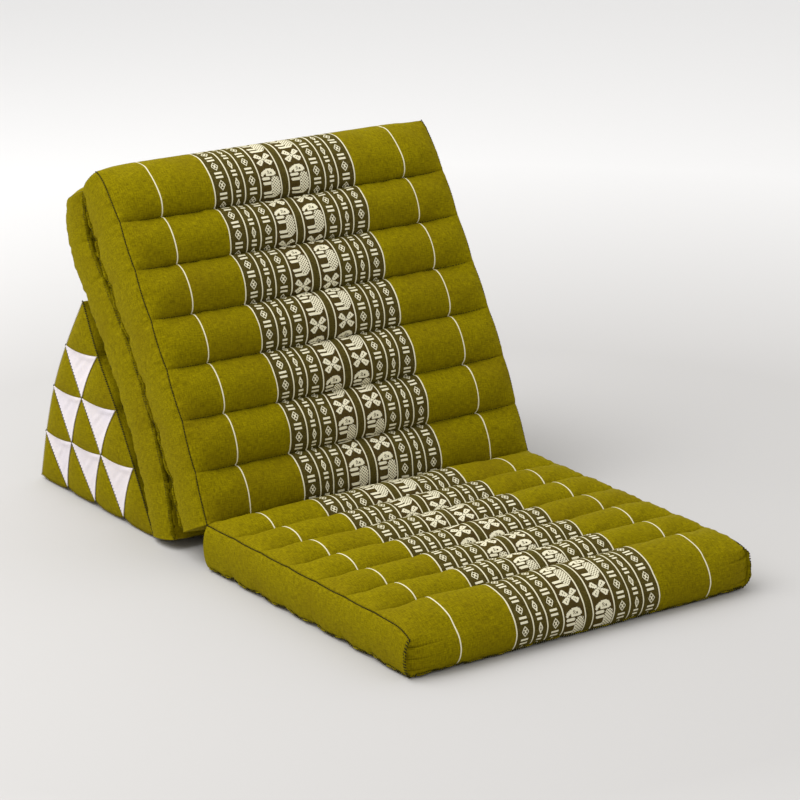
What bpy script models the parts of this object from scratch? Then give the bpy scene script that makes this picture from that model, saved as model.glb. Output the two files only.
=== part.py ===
"""Folding triangle cushion: a ribbed wedge and three channelled mats, sewn in a zigzag chain.

Frame: metres, +Z up, floor at z = 0, +X to the right of someone who faces the cushion from its
seat end, -Y towards that person. The origin lies on the floor in the middle of the footprint.

Every filled piece starts as a box or a prism, is cut into a lattice by planes, and each point of
the lattice is then moved to the place that the sewn and filled cloth takes.
"""

import math
from collections import namedtuple

import bmesh
import bpy
from mathutils import Vector

# Driving dimensions
WIDTH = 0.510           # a mat between its side seams
SHIFT_Y = 0.0043        # from the seat-to-back hinge line's zero to the middle of the footprint

# Mats
CHANNELS = 7
CREST = 0.012           # top of a rib above the line of the side seams
CREASE_DIP = 0.005      # sewn crease below that line
GROOVE = 0.004          # crease in the underside
CROWN_REACH = 0.055     # from the side seam to the full height of the ribs
SIDE_BULGE = 0.007      # side panel, outwards
SEAM_DRAW = 0.002       # side seam pulled in at each crease
RIB_POWER = 0.65        # below 1, fuller than a sine
LAND = (0.3, 0.7)       # part of a channel whose underside is flat
WRAP_CREST = 0.40       # where the last rib is highest, as a part of its channel
WRAP_DROP = 0.020       # from that height to the edge where the cloth wraps the free end
FREE_BULGE = 0.013      # free end, outwards
HINGE_BULGE = 0.006     # sewn end, outwards
CUTS_IN_CHANNEL = (0.05, 0.15, 0.32, 0.5, 0.68, 0.85, 0.95)
CUTS_IN_THICKNESS = (0.25, 0.5, 0.75)
CUTS_FROM_SIDE = (0.008, 0.025, CROWN_REACH)

SEAT_THICKNESS = 0.060
SEAT_PITCH = 0.0655
SEAT_HINGE_Y = 0.0040
SEAT_FRONT_Y = -0.467

# One row for each crease of a leaning mat, from its lower end to its upper one: the side seam of
# the patterned face, the side seam of the underside, and the crest of the rib above the row.
Fold = namedtuple("Fold", "face_y face_z under_y under_z crest")

BACK_FOLDS = (
    Fold(0.0043, 0.0605, 0.0665, 0.0323, CREST),
    Fold(0.0310, 0.1230, 0.0925, 0.0950, CREST),
    Fold(0.0600, 0.1860, 0.1240, 0.1540, CREST),
    Fold(0.0950, 0.2470, 0.1580, 0.2110, CREST),
    Fold(0.1310, 0.3055, 0.1950, 0.2680, CREST),
    Fold(0.1670, 0.3640, 0.2345, 0.3270, CREST),
    Fold(0.2020, 0.4210, 0.2690, 0.3820, CREST),
    Fold(0.2510, 0.4865, 0.2955, 0.4465, CREST),
)

REAR_FOLDS = (
    Fold(0.1496, 0.0050, 0.0915, 0.0146, 0.000),
    Fold(0.1710, 0.0680, 0.1070, 0.0921, 0.005),
    Fold(0.1975, 0.1306, 0.1335, 0.1601, 0.008),
    Fold(0.2298, 0.1900, 0.1675, 0.2249, 0.010),
    Fold(0.2668, 0.2467, 0.2095, 0.2854, 0.009),
    Fold(0.3068, 0.3014, 0.2530, 0.3401, CREST),
    Fold(0.3440, 0.3580, 0.2840, 0.3815, CREST),
    Fold(0.3514, 0.4222, 0.2962, 0.4465, CREST),
)

# Wedge
WEDGE_WIDTH = 0.508     # between the seams of its two ends
WEDGE_ROWS = 4
WEDGE_SPLITS = 6        # lattice steps in a rib and in an end triangle
BASE_SEAM_LIFT = 0.009  # sewn creases of the base above the floor
END_DOME = 0.008        # whole end, outwards
END_PUFF = 0.006        # each green end triangle, outwards
END_RECESS = 0.003      # each pale one, inwards

# One row for each line of nodes across the end, from the apex down to the base: the seam of the
# back face, the seam of the front face, and the crests of the two ribs above the row.
Row = namedtuple("Row", "back_y back_z front_y front_z back_crest front_crest")

WEDGE_OUTLINE = (
    Row(0.3170, 0.2900, 0.3170, 0.2900, 0.000, 0.000),
    Row(0.3720, 0.2170, 0.2820, 0.2215, 0.010, 0.009),
    Row(0.4146, 0.1490, 0.2373, 0.1570, 0.011, 0.009),
    Row(0.4461, 0.0760, 0.1955, 0.0870, 0.011, 0.006),
    Row(0.4695, 0.0050, 0.1501, 0.0050, 0.010, 0.000),
)

# Pale end triangles
PATCH_THICKNESS = 0.0016
PATCH_INSET = 0.05      # of the way from the seam to the triangle's middle
PATCH_SEAT = 0.0006     # over the wedge's own surface

# Colours are sRGB hex values
COLLECTION = "thai_triangle_cushion"
GREEN = "8C8405"
PALE = "E4DCEC"


def linear(hex_colour):
    """Returns the linear RGBA value of an sRGB hex colour."""
    channels = [int(hex_colour[i:i + 2], 16) / 255 for i in (0, 2, 4)]
    return [c / 12.92 if c <= 0.04045 else ((c + 0.055) / 1.055) ** 2.4 for c in channels] + [1.0]


def cloth_material(name, hex_colour):
    """Makes a matt cloth material."""
    material = bpy.data.materials.new(name)
    material.use_nodes = True
    shader = material.node_tree.nodes["Principled BSDF"]
    shader.inputs["Base Color"].default_value = linear(hex_colour)
    shader.inputs["Roughness"].default_value = 0.9
    shader.inputs["Metallic"].default_value = 0.0
    return material


def curve_through(points, place):
    """Returns the point at place, 0 for the first point and 1 for the second, on a smooth curve."""
    last = len(points) - 1
    i = min(int(place), last - 1)
    u = place - i
    before = points[i - 1] if i else points[0] * 2 - points[1]
    after = points[i + 2] if i + 2 <= last else points[last] * 2 - points[last - 1]
    start_slope = (points[i + 1] - before) / 2
    end_slope = (after - points[i]) / 2
    return (points[i] * (1 + 2 * u) * (1 - u) ** 2 + start_slope * u * (1 - u) ** 2
            + points[i + 1] * (3 - 2 * u) * u ** 2 - end_slope * (1 - u) * u ** 2)


def outward_normal(points, place, opposite):
    """Returns the curve's unit normal at place, on the side away from the opposite curve."""
    step = 0.01
    last = len(points) - 1
    ahead = curve_through(points, min(place + step, last))
    behind = curve_through(points, max(place - step, 0))
    along = (ahead - behind).normalized()
    normal = Vector((-along.y, along.x))
    return normal if normal.dot(points[-1] - opposite[-1]) > 0 else -normal


def crown(from_seam):
    """Returns how far the filling lifts the cloth, 0 at the seam and 1 past CROWN_REACH."""
    k = 1 - min(max(from_seam, 0) / CROWN_REACH, 1)
    return math.sqrt(1 - k * k)


def rib(u):
    """Returns the height of a rib, 0 at both creases and 1 halfway."""
    return math.sin(math.pi * min(max(u, 0), 1)) ** RIB_POWER


def cut_lattice(mesh, normal, places):
    """Cuts the whole mesh by planes with this normal at these distances from the origin."""
    for place in places:
        geometry = mesh.verts[:] + mesh.edges[:] + mesh.faces[:]
        bmesh.ops.bisect_plane(mesh, geom=geometry, dist=1e-5, plane_co=normal * place, plane_no=normal)


def side_stations(half):
    """Returns the places of the cuts across a piece, closer together near its sides."""
    right = [half - step for step in CUTS_FROM_SIDE] + [half * 0.4]
    return [-place for place in right] + [0.0] + right[::-1]


def finish(mesh, name, material, collection):
    """Turns the lattice into a smooth-shaded object whose faces point out."""
    if mesh.calc_volume(signed=True) < 0:
        bmesh.ops.reverse_faces(mesh, faces=mesh.faces[:])
    data = bpy.data.meshes.new(name)
    mesh.normal_update()
    mesh.to_mesh(data)
    mesh.free()
    data.materials.append(material)
    data.shade_smooth()
    data.set_sharp_from_angle(angle=math.radians(50))
    piece = bpy.data.objects.new(name, data)
    collection.objects.link(piece)
    return piece


def seat_folds():
    """Returns the rows of the mat that lies flat on the floor."""
    places = [SEAT_HINGE_Y - SEAT_PITCH * i for i in range(CHANNELS)] + [SEAT_FRONT_Y]
    return [Fold(y, SEAT_THICKNESS, y, 0.0, CREST) for y in places]


def rib_heights(place, crest, lift):
    """Returns how far the top stands over its side seams there, and the underside over its own."""
    channel = min(int(place), CHANNELS - 1)
    u = place - channel
    inside = min(place, 1.0, CHANNELS - place)
    dip = CREASE_DIP * inside
    top = crest * rib(u) - dip * (1 - rib(u))
    if channel == CHANNELS - 1 and u <= WRAP_CREST:
        top = (crest + dip) * rib(u / WRAP_CREST / 2) - dip
    elif channel == CHANNELS - 1:
        fall = (u - WRAP_CREST) / (1 - WRAP_CREST)
        top = crest - WRAP_DROP * (1 - math.sqrt(max(1 - fall * fall, 0)))
    if LAND[0] < u < LAND[1]:
        return top * lift, 0.0
    return top * lift, GROOVE * (1 - rib(u)) * inside * min(lift + 0.5, 1)


def mat(name, folds, material, collection):
    """Makes a filled mat with sewn channels, sharp side seams and a free end that the cloth wraps."""
    half = WIDTH / 2
    face = [Vector((fold.face_y, fold.face_z)) for fold in folds]
    under = [Vector((fold.under_y, fold.under_z)) for fold in folds]
    mesh = bmesh.new()
    bmesh.ops.create_cube(mesh, size=1.0)
    bmesh.ops.scale(mesh, vec=(WIDTH, CHANNELS, 1.0), verts=mesh.verts)
    bmesh.ops.translate(mesh, vec=(0.0, CHANNELS / 2, 0.5), verts=mesh.verts)
    cut_lattice(mesh, Vector((1, 0, 0)), side_stations(half))
    stations = [i + u for i in range(CHANNELS) for u in CUTS_IN_CHANNEL] + list(range(1, CHANNELS))
    cut_lattice(mesh, Vector((0, 1, 0)), stations)
    cut_lattice(mesh, Vector((0, 0, 1)), CUTS_IN_THICKNESS)
    for vert in mesh.verts:
        x, place, t = vert.co
        from_side = half - abs(x)
        lift = crown(from_side)
        top, bottom = rib_heights(place, folds[min(int(place), CHANNELS - 1)].crest, lift)
        at_face = curve_through(face, place)
        at_under = curve_through(under, place)
        outward = (at_face - at_under).normalized()
        along = Vector((outward.y, -outward.x))
        if along.dot(face[-1] - face[0]) < 0:
            along = -along
        point = at_under.lerp(at_face, t) + outward * (t * top + (1 - t) * bottom)
        roundness = 4 * t * (1 - t)
        if place == 0:
            point -= along * HINGE_BULGE * roundness * lift
        if place == CHANNELS:
            point += along * FREE_BULGE * roundness * lift
        if from_side < 1e-6:
            inwards = SEAM_DRAW * (1 - rib(place % 1)) * (1 - roundness) * min(place, 1.0, CHANNELS - place)
            x = math.copysign(half - inwards + SIDE_BULGE * roundness, x)
        vert.co = (x, point.x + SHIFT_Y, point.y)
    return finish(mesh, name, material, collection)


def bump_at_node(row, across):
    """Returns how far a lattice point of the wedge's end stands out from the seams of the end."""
    shares = ((WEDGE_ROWS - row) / WEDGE_ROWS, across / WEDGE_ROWS, (row - across) / WEDGE_ROWS)
    dome = END_DOME * math.sqrt(max(27 * shares[0] * shares[1] * shares[2], 0))
    down = row - math.floor(row + 1e-6)
    side = across - math.floor(across + 1e-6)
    if side > down:
        parts = (1 - side, side - down, down)
        height = -END_RECESS
    else:
        parts = (1 - down, side, down - side)
        height = END_PUFF
    return dome + height * math.sqrt(max(27 * parts[0] * parts[1] * parts[2], 0))


def end_bump(row, across):
    """Returns the same for any point of the end, straight between the lattice points around it."""
    steps = WEDGE_SPLITS
    i = min(math.floor(row * steps + 1e-4), WEDGE_ROWS * steps - 1)
    j = math.floor(across * steps + 1e-4)
    down = row * steps - i
    side = across * steps - j
    nodes = [bump_at_node(a / steps, b / steps) for a, b in ((i, j), (i + 1, j + 1))]
    if side > down:
        third = bump_at_node(i / steps, (j + 1) / steps)
        return nodes[0] * (1 - side) + third * (side - down) + nodes[1] * down
    third = bump_at_node((i + 1) / steps, j / steps)
    return nodes[0] * (1 - down) + third * (down - side) + nodes[1] * side


def wedge_section(row, across):
    """Returns a point of the wedge's section: row counts from the apex, across from the back seam."""
    back = [Vector((line.back_y, line.back_z)) for line in WEDGE_OUTLINE]
    front = [Vector((line.front_y, line.front_z)) for line in WEDGE_OUTLINE]
    share = across / row if row > 1e-6 else 0.0
    point = curve_through(back, row).lerp(curve_through(front, row), min(share, 1.0))
    lift = BASE_SEAM_LIFT - WEDGE_OUTLINE[-1].back_z
    point.y += lift * 4 * share * (1 - share) * (row / WEDGE_ROWS) ** 4
    return point


def prism_lattice(rows, splits, stations):
    """Makes a triangular prism along X with its apex up, cut into equal rows parallel to its sides."""
    mesh = bmesh.new()
    bmesh.ops.create_cone(mesh, cap_ends=True, segments=3, radius1=1.0, radius2=1.0, depth=2.0)
    corners = [Vector((vert.co.x, vert.co.y, 0)) for vert in mesh.verts if vert.co.z > 0]
    step = 1.5 / (rows * splits)
    for corner in corners:
        cut_lattice(mesh, corner, [step * i - 0.5 for i in range(1, rows * splits)])
    cut_lattice(mesh, Vector((0, 0, 1)), stations)
    apex, front, _ = corners
    for vert in mesh.verts:
        row = (1 - vert.co.dot(apex)) / 1.5 * rows
        across = (vert.co.dot(front) + 0.5) / 1.5 * rows
        vert.co = (vert.co.z, round(across * splits) / splits, round(row * splits) / splits)
    return mesh


def wedge(material, collection):
    """Makes the filled prism: four ribs on each long face, and ends of puffed and sunk triangles."""
    half = WEDGE_WIDTH / 2
    back = [Vector((line.back_y, line.back_z)) for line in WEDGE_OUTLINE]
    front = [Vector((line.front_y, line.front_z)) for line in WEDGE_OUTLINE]
    stations = [place / half for place in side_stations(half)]
    mesh = prism_lattice(WEDGE_ROWS, WEDGE_SPLITS, stations)
    for vert in mesh.verts:
        end, across, row = vert.co
        x = end * half
        lift = crown(half - abs(x))
        point = wedge_section(row, across)
        below = min(int(row), WEDGE_ROWS - 1) + 1
        u = row - (below - 1)
        dip = CREASE_DIP * min(row, 1.0, WEDGE_ROWS - row) * (1 - rib(u))
        if across == 0:
            height = WEDGE_OUTLINE[below].back_crest * rib(u) - dip
            point += outward_normal(back, row, front) * height * lift
        elif across == row:
            height = WEDGE_OUTLINE[below].front_crest * rib(u) - dip
            point += outward_normal(front, row, back) * height * lift
        if row == WEDGE_ROWS:
            point.y *= 1 - lift * min(rib(across % 1) / rib(LAND[0]), 1)
        if abs(end) > 1 - 1e-6:
            x = math.copysign(half + end_bump(row, across), end)
        vert.co = (x, point.x + SHIFT_Y, point.y)
    return finish(mesh, "wedge", material, collection)


def end_patch(name, top_row, column, side, material, collection):
    """Makes one pale triangle: its top edge on the row's line of nodes, its tip on the next one."""
    mesh = prism_lattice(1, WEDGE_SPLITS, [])
    middle = Vector((1, 1, 1)) / 3
    for vert in mesh.verts:
        outer, across, row = vert.co
        shares = Vector((1 - row, across, row - across))
        if min(shares) < 1e-6:
            shares = shares.lerp(middle, PATCH_INSET)
        row_place = top_row + shares.z
        across_place = column + 1 - shares.x
        point = wedge_section(row_place, across_place)
        height = end_bump(row_place, across_place) + PATCH_SEAT
        height += PATCH_THICKNESS if outer > 0 else 0.0
        vert.co = (side * (WEDGE_WIDTH / 2 + height), point.x + SHIFT_Y, point.y)
    return finish(mesh, name, material, collection)


for old in list(bpy.data.objects):
    bpy.data.objects.remove(old, do_unlink=True)
cushion = bpy.data.collections.new(COLLECTION)
bpy.context.scene.collection.children.link(cushion)
green_cloth = cloth_material("green_cloth", GREEN)
pale_cloth = cloth_material("pale_cloth", PALE)

mat("mat_seat", seat_folds(), green_cloth, cushion)
mat("mat_back", BACK_FOLDS, green_cloth, cushion)
mat("mat_rear", REAR_FOLDS, green_cloth, cushion)
wedge(green_cloth, cushion)
for side_name, side in (("left", -1), ("right", 1)):
    number = 0
    for top_row in range(1, WEDGE_ROWS):
        for column in range(top_row):
            number += 1
            end_patch(f"end_patch_{side_name}_{number}", top_row, column, side, pale_cloth, cushion)
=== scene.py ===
import math
from collections import namedtuple

import bmesh
import bpy
import numpy as np
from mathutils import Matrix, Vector


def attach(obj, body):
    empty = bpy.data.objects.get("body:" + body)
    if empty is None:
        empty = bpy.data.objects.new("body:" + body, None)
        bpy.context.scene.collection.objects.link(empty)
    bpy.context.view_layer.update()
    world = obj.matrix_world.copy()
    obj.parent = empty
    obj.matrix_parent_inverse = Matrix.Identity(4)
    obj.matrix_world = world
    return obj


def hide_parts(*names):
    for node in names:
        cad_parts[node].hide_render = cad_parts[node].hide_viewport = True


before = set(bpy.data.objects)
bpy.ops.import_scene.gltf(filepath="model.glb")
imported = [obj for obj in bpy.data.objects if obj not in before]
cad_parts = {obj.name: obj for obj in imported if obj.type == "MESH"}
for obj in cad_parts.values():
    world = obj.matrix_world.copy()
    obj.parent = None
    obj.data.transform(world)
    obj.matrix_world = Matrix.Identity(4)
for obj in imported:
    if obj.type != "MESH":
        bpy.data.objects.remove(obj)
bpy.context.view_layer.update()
bpy.ops.object.select_all(action="DESELECT")

# Seat mat.
# A flat bag of woven cotton, sewn across into seven channels and filled with kapok. The patterned
# cloth covers its face and wraps its front end; plain cloth makes the side panels and the underside.

WIDTH = 0.510           # between the side seams
SHIFT_Y = 0.0043        # from the hinge line's zero to the middle of the footprint
CHANNELS = 7
SAME = 1e-6             # places closer than this are one
NEAR = 1e-4             # and after a subdivision, closer than this
CREST = 0.012           # top of a rib above the side seams
CREASE_DIP = 0.005      # sewn crease below them
GROOVE = 0.004          # crease in the underside
GROOVE_SHOWN = 0.8      # part of its depth that it keeps at the side seams
CROWN_REACH = 0.055     # from a side seam to the full height of the ribs
SIDE_BULGE = 0.007      # side panel, outwards
PANEL_FULL = 0.7        # below 1, fuller than a parabola
SEAM_DRAW = 0.0024      # side seam, inwards at a crease
RIB_POWER = 0.65        # below 1, fuller than a sine
LAND = (0.3, 0.7)       # part of a channel whose underside rests flat
WRAP_CREST = 0.40       # where the last rib is highest
WRAP_DROP = 0.020       # from there to the edge where the cloth turns down
WRAP_TURN = 0.8         # part of a quarter round that the cloth makes before the edge
NEAR_SEAM_FALL = 0.011  # left side seam, down over the free end's corner
FAR_SEAM_FALL = 0.005   # and the right one
EVEN_CREST = 0.75       # part of a rib's height that the cloth has all along beside the side seams
CREASE_CUT = 0.0025     # the stitches pull the cloth that much deeper, close to a crease
CUT_REACH = 0.022       # how far from a crease, in channels
SEAM_TUCK = 0.0012      # how far the seams around the edges are drawn in
FREE_BULGE = 0.013      # free end, outwards
HINGE_BULGE = 0.006     # sewn end, outwards
SEAT_THICKNESS = 0.060
SEAT_PITCH = 0.0655
SEAT_HINGE_Y = 0.0040
SEAT_FRONT_Y = -0.467
SIDE_STEPS = (0.0, 0.0015, 0.0045, 0.009, 0.015, 0.023, 0.032, 0.043, CROWN_REACH)
MIDDLE_STEPS = 50
RIB_STEPS = (0.0, 0.012, 0.03, 0.06, 0.11, 0.18, 0.28, 0.39, 0.5,
             0.61, 0.72, 0.82, 0.89, 0.94, 0.97, 0.988)
WRAP_STEPS = (0.0, 0.012, 0.03, 0.06, 0.11, 0.18, 0.27, 0.36,
              0.45, 0.54, 0.63, 0.72, 0.80, 0.87, 0.93, 0.97)
LAYERS = (0.03, 0.09, 0.17, 0.20, 0.23, 0.35, 0.47, 0.50, 0.53, 0.65, 0.77, 0.80, 0.83, 0.91, 0.97)
ARC_STEPS = 40          # in a channel, to measure the cloth along its ribs
SEAT_PATTERN = 0.0176   # where the band's repeat begins, from the hinge
MARKS = ("across", "place", "height")  # kept for each point until its seams are sewn

# One row for each crease: the side seam of the face, the side seam of the underside, the rib's crest
Fold = namedtuple("Fold", "face_y face_z under_y under_z crest")
Cloth = namedtuple("Cloth", "face under folds start direction arcs drops")


def linear(hex_colour):
    """Returns the linear RGBA value of an sRGB hex colour."""
    channels = [int(hex_colour[i:i + 2], 16) / 255 for i in (0, 2, 4)]
    return [c / 12.92 if c <= 0.04045 else ((c + 0.055) / 1.055) ** 2.4 for c in channels] + [1.0]


def add(tree, kind, inputs, output=0, **settings):
    """Adds a node with its settings, sets or links its inputs, and returns one of its outputs."""
    made = tree.nodes.new(kind)
    for name, value in settings.items():
        setattr(made, name, value)
    for key, value in inputs.items():
        if isinstance(value, bpy.types.NodeSocket):
            tree.links.new(value, made.inputs[key])
        else:
            made.inputs[key].default_value = value
    return made.outputs[output]


def curve_through(points, place):
    """Returns the point at place, 0 for the first point and 1 for the second, on a smooth curve."""
    last = len(points) - 1
    i = min(int(place), last - 1)
    u = place - i
    before = points[i - 1] if i else points[0] * 2 - points[1]
    after = points[i + 2] if i + 2 <= last else points[last] * 2 - points[last - 1]
    start_slope = (points[i + 1] - before) / 2
    end_slope = (after - points[i]) / 2
    return (points[i] * (1 + 2 * u) * (1 - u) ** 2 + start_slope * u * (1 - u) ** 2
            + points[i + 1] * (3 - 2 * u) * u ** 2 - end_slope * (1 - u) * u ** 2)


def crown(from_seam):
    """Returns how far the filling lifts the cloth, 0 at the seam and 1 past CROWN_REACH."""
    k = 1 - min(max(from_seam, 0) / CROWN_REACH, 1)
    return math.sqrt(1 - k * k)


def rib(u):
    """Returns the height of a rib, 0 at both creases and 1 halfway."""
    return math.sin(math.pi * min(max(u, 0), 1)) ** RIB_POWER


def rib_heights(place, crest, lift, seam_fall):
    """Returns how far the top stands over its side seams there, and the underside over its own."""
    channel = min(int(place), CHANNELS - 1)
    u = place - channel
    inside = min(place, 1.0, CHANNELS - place)
    dip = CREASE_DIP * inside
    top = crest * rib(u) - dip * (1 - rib(u))
    if channel == CHANNELS - 1 and u <= WRAP_CREST:
        top = (crest + dip) * rib(u / WRAP_CREST / 2) - dip
    elif channel == CHANNELS - 1:
        fall = (u - WRAP_CREST) / (1 - WRAP_CREST)
        turned = 1 - math.sqrt(1 - (WRAP_TURN * fall) ** 2)
        top = crest - WRAP_DROP * turned / (1 - math.sqrt(1 - WRAP_TURN ** 2))
        top -= crest * (1 - EVEN_CREST) * (1 - lift)
        return top * lift - seam_fall * fall ** 3 * (1 - lift), 0.0
    from_crease = min(u, 1 - u) if channel < CHANNELS - 1 else u
    top -= CREASE_CUT * inside * math.exp(-(from_crease / CUT_REACH) ** 2)
    top = crest * EVEN_CREST * (1 - lift) + top * lift
    if LAND[0] < u < LAND[1]:
        return top * lift, 0.0
    return top * lift, GROOVE * (1 - rib(u)) * inside * min(lift + GROOVE_SHOWN, 1)


def mat_point(cloth, x, place, t):
    """Returns where the cloth lies at x, at a place along the channels and t from underside to face."""
    half = WIDTH / 2
    from_side = half - abs(x)
    lift = crown(from_side)
    crest = cloth.folds[min(int(place), CHANNELS - 1)].crest
    top, bottom = rib_heights(place, crest, lift, NEAR_SEAM_FALL if x < 0 else FAR_SEAM_FALL)
    at_face = curve_through(cloth.face, place)
    at_under = curve_through(cloth.under, place)
    outward = (at_face - at_under).normalized()
    along = Vector((outward.y, -outward.x))
    if along.dot(cloth.face[-1] - cloth.face[0]) < 0:
        along = -along
    point = at_under.lerp(at_face, t) + outward * (t * top + (1 - t) * bottom)
    roundness = 4 * t * (1 - t)
    if place == 0:
        point -= along * HINGE_BULGE * roundness * lift
    if place == CHANNELS:
        point += along * FREE_BULGE * roundness * lift
    sewn_edge = t in (0.0, 1.0) or place == CHANNELS
    if from_side < SAME:
        at_crease = (1 - rib(place % 1)) * min(place, 1.0, CHANNELS - place)
        inwards = SEAM_DRAW * at_crease * (1 - roundness) + SEAM_TUCK * sewn_edge
        x = math.copysign(half - inwards + SIDE_BULGE * roundness ** PANEL_FULL, x)
        point += outward * SEAM_TUCK * ((t == 0.0) - (t == 1.0))
    if place == CHANNELS and (t == 0.0 or from_side < SAME):
        point -= along * SEAM_TUCK
    return Vector((x, point.x + SHIFT_Y, point.y))


def measured(folds, start, direction):
    """Returns a mat's cloth, with its length along the ribs summed from the hinge."""
    face = [Vector((fold.face_y, fold.face_z)) for fold in folds]
    under = [Vector((fold.under_y, fold.under_z)) for fold in folds]
    cloth = Cloth(face, under, folds, start, direction, [0.0], [0.0])
    before = mat_point(cloth, 0.0, 0.0, 1.0)
    for step in range(1, CHANNELS * ARC_STEPS + 1):
        here = mat_point(cloth, 0.0, step / ARC_STEPS, 1.0)
        cloth.arcs.append(cloth.arcs[-1] + (here - before).length)
        before = here
    for step in range(1, ARC_STEPS + 1):
        here = mat_point(cloth, 0.0, float(CHANNELS), 1 - step / ARC_STEPS)
        cloth.drops.append(cloth.drops[-1] + (here - before).length)
        before = here
    return cloth


def length_at(lengths, steps):
    """Returns the length at a number of steps, read between two measured ones."""
    i = min(int(steps), len(lengths) - 2)
    return lengths[i] + (lengths[i + 1] - lengths[i]) * (steps - i)


def mat_weave(cloth, x, place, t, facing):
    """Returns a point's place in the weave, in metres: across the cloth and along it."""
    length = length_at(cloth.arcs, place * ARC_STEPS)
    depth = (cloth.face[-1] - cloth.under[-1]).length
    if facing == "side":
        return t * depth, length
    if facing == "end" and place == CHANNELS:
        length += length_at(cloth.drops, (1 - t) * ARC_STEPS)
    elif facing == "end":
        length -= (1 - t) * depth
    return x, cloth.start + cloth.direction * length


def in_order(cage, spots):
    """Rebuilds a cage, its points and faces sorted by place so that each run has the same cloth."""
    order = sorted(cage.verts, key=spots.get)
    ranks = {vert: rank for rank, vert in enumerate(order)}
    faces = []
    for face in cage.faces:
        corners = [ranks[vert] for vert in face.verts]
        first = corners.index(min(corners))
        faces.append(corners[first:] + corners[:first])
    data = bpy.data.meshes.new("cage")
    data.from_pydata([vert.co for vert in order], [], sorted(faces))
    kept = [spots[vert] for vert in order]
    cage.free()
    ordered = bmesh.new()
    ordered.from_mesh(data)
    bpy.data.meshes.remove(data)
    marks = [ordered.verts.layers.float.new(mark) for mark in MARKS]
    for vert, spot in zip(ordered.verts, kept):
        for mark, value in zip(marks, spot):
            vert[mark] = value
    return ordered, dict(zip(ordered.verts, kept))


def mat_mesh(name, cloth):
    """Makes a mat's cage: a grid thickened and cut into layers, whose points then take their places."""
    half = WIDTH / 2
    inner = half - CROWN_REACH
    right = [half - step for step in SIDE_STEPS]
    middle = [inner * (2 * i / MIDDLE_STEPS - 1) for i in range(1, MIDDLE_STEPS)]
    across = [-place for place in right] + middle + right[::-1]
    places = [i + u for i in range(CHANNELS - 1) for u in RIB_STEPS]
    places += [CHANNELS - 1 + u for u in WRAP_STEPS] + [float(CHANNELS)]
    cage = bmesh.new()
    bmesh.ops.create_grid(cage, x_segments=len(across) - 1, y_segments=len(places) - 1, size=0.5)
    raised = bmesh.ops.extrude_face_region(cage, geom=cage.faces[:])["geom"]
    raised = [part for part in raised if isinstance(part, bmesh.types.BMVert)]
    bmesh.ops.translate(cage, vec=(0, 0, 1), verts=raised)
    for layer in LAYERS:
        geometry = cage.verts[:] + cage.edges[:] + cage.faces[:]
        bmesh.ops.bisect_plane(cage, geom=geometry, dist=1e-5,
                               plane_co=(0, 0, layer), plane_no=(0, 0, 1))
    bmesh.ops.recalc_face_normals(cage, faces=cage.faces[:])
    spots = {}
    for vert in cage.verts:
        i = round((vert.co.x + 0.5) * (len(across) - 1))
        j = round((vert.co.y + 0.5) * (len(places) - 1))
        spots[vert] = (across[i], places[j], round(vert.co.z, 4))
    cage, spots = in_order(cage, spots)
    weave = cage.loops.layers.uv.new("weave")
    for face in cage.faces:
        facing = "top" if face.normal.z > 0 else "under"
        if abs(face.normal.x) > 0.5:
            facing = "side"
        elif abs(face.normal.y) > 0.5:
            facing = "end"
        patterned = facing == "top" or (facing == "end" and face.normal.y > 0)
        face.material_index = 0 if patterned else 1
        for loop in face.loops:
            loop[weave].uv = mat_weave(cloth, *spots[loop.vert], facing)
    creased = cage.edges.layers.float.new("crease_edge")
    for edge in cage.edges:
        on_side = all(abs(spots[vert][0]) > half - SAME for vert in edge.verts)
        on_crease = all(abs(spots[vert][1] % 1) < SAME and spots[vert][2] == 1.0 for vert in edge.verts)
        if (on_side and edge.calc_face_angle(0.0) > 1.0) or on_crease:
            edge[creased] = 1.0
    for vert, spot in spots.items():
        vert.co = mat_point(cloth, *spot)
    if cage.calc_volume(signed=True) < 0:
        bmesh.ops.reverse_faces(cage, faces=cage.faces[:])
    data = bpy.data.meshes.new(name)
    cage.to_mesh(data)
    cage.free()
    return data


# Charts of the woven band, one letter for each thread crossing: # floats cream over the ground, and
# x is the body, where the ground shows through in a lattice of dots.
ELEPHANT_CHART = """
.........########.......
......#############.....
....#######.########....
..########.#.#######....
.##########.##..#####...
.#####.###.#.#..#####...
####...##############...
.##....############.....
........................
.##########....xxxxxx...
############..xxxxxxxxx.
.##########..xxxxxxxxxx.
.............xxxxxxxxxx.
............xxxxxxxxxxx.
.###########.xxxxxxxxxxx
.############xxxxxxxxxxx
..##########.xxxxxxxxxxx
............#xxxxxxxxxxx
............#xxxxxxxxxxx
............#xxxxxxxxxxx
............#xxxxxxxxxxx
............#xxxxxxxxxxx
............#xxxxxxxxxxx
...........##xxxxxxxxxxx
.###########.xxxxxxxxxxx
.############xxxxxxxxxxx
..##########.xxxxxxxxxxx
.............xxxxxxxxxx.
............xxxxxxxxxx..
..###########xxxxxxxx...
..##################....
...###############......
"""
BLOSSOM_CHART = """
........................
........................
........................
....###..........###....
...#####........#####...
..###.###......###.###..
.####.####....####.####.
..#####.###..###.#####..
....#######..#######....
......####.##.####......
.........######.........
......####.##.####......
....#######..#######....
..#####.###..###.#####..
.####.####....####.####.
..###.###......###.###..
...#####........#####...
....###..........###....
........................
........................
........................
........................
"""
DIAMOND_CHART = """
.........##.........
........####........
......###..###......
.....##......##.....
....####....####....
...##..######..##...
..##....####....##..
..##....####....##..
...##..######..##...
....####....####....
.....##......##.....
......###..###......
........####........
.........##.........
....................
....................
....................
.##################.
.##################.
.##################.
....................
....................
....................
.##################.
.##################.
.##################.
....................
....................
....................
"""
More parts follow.
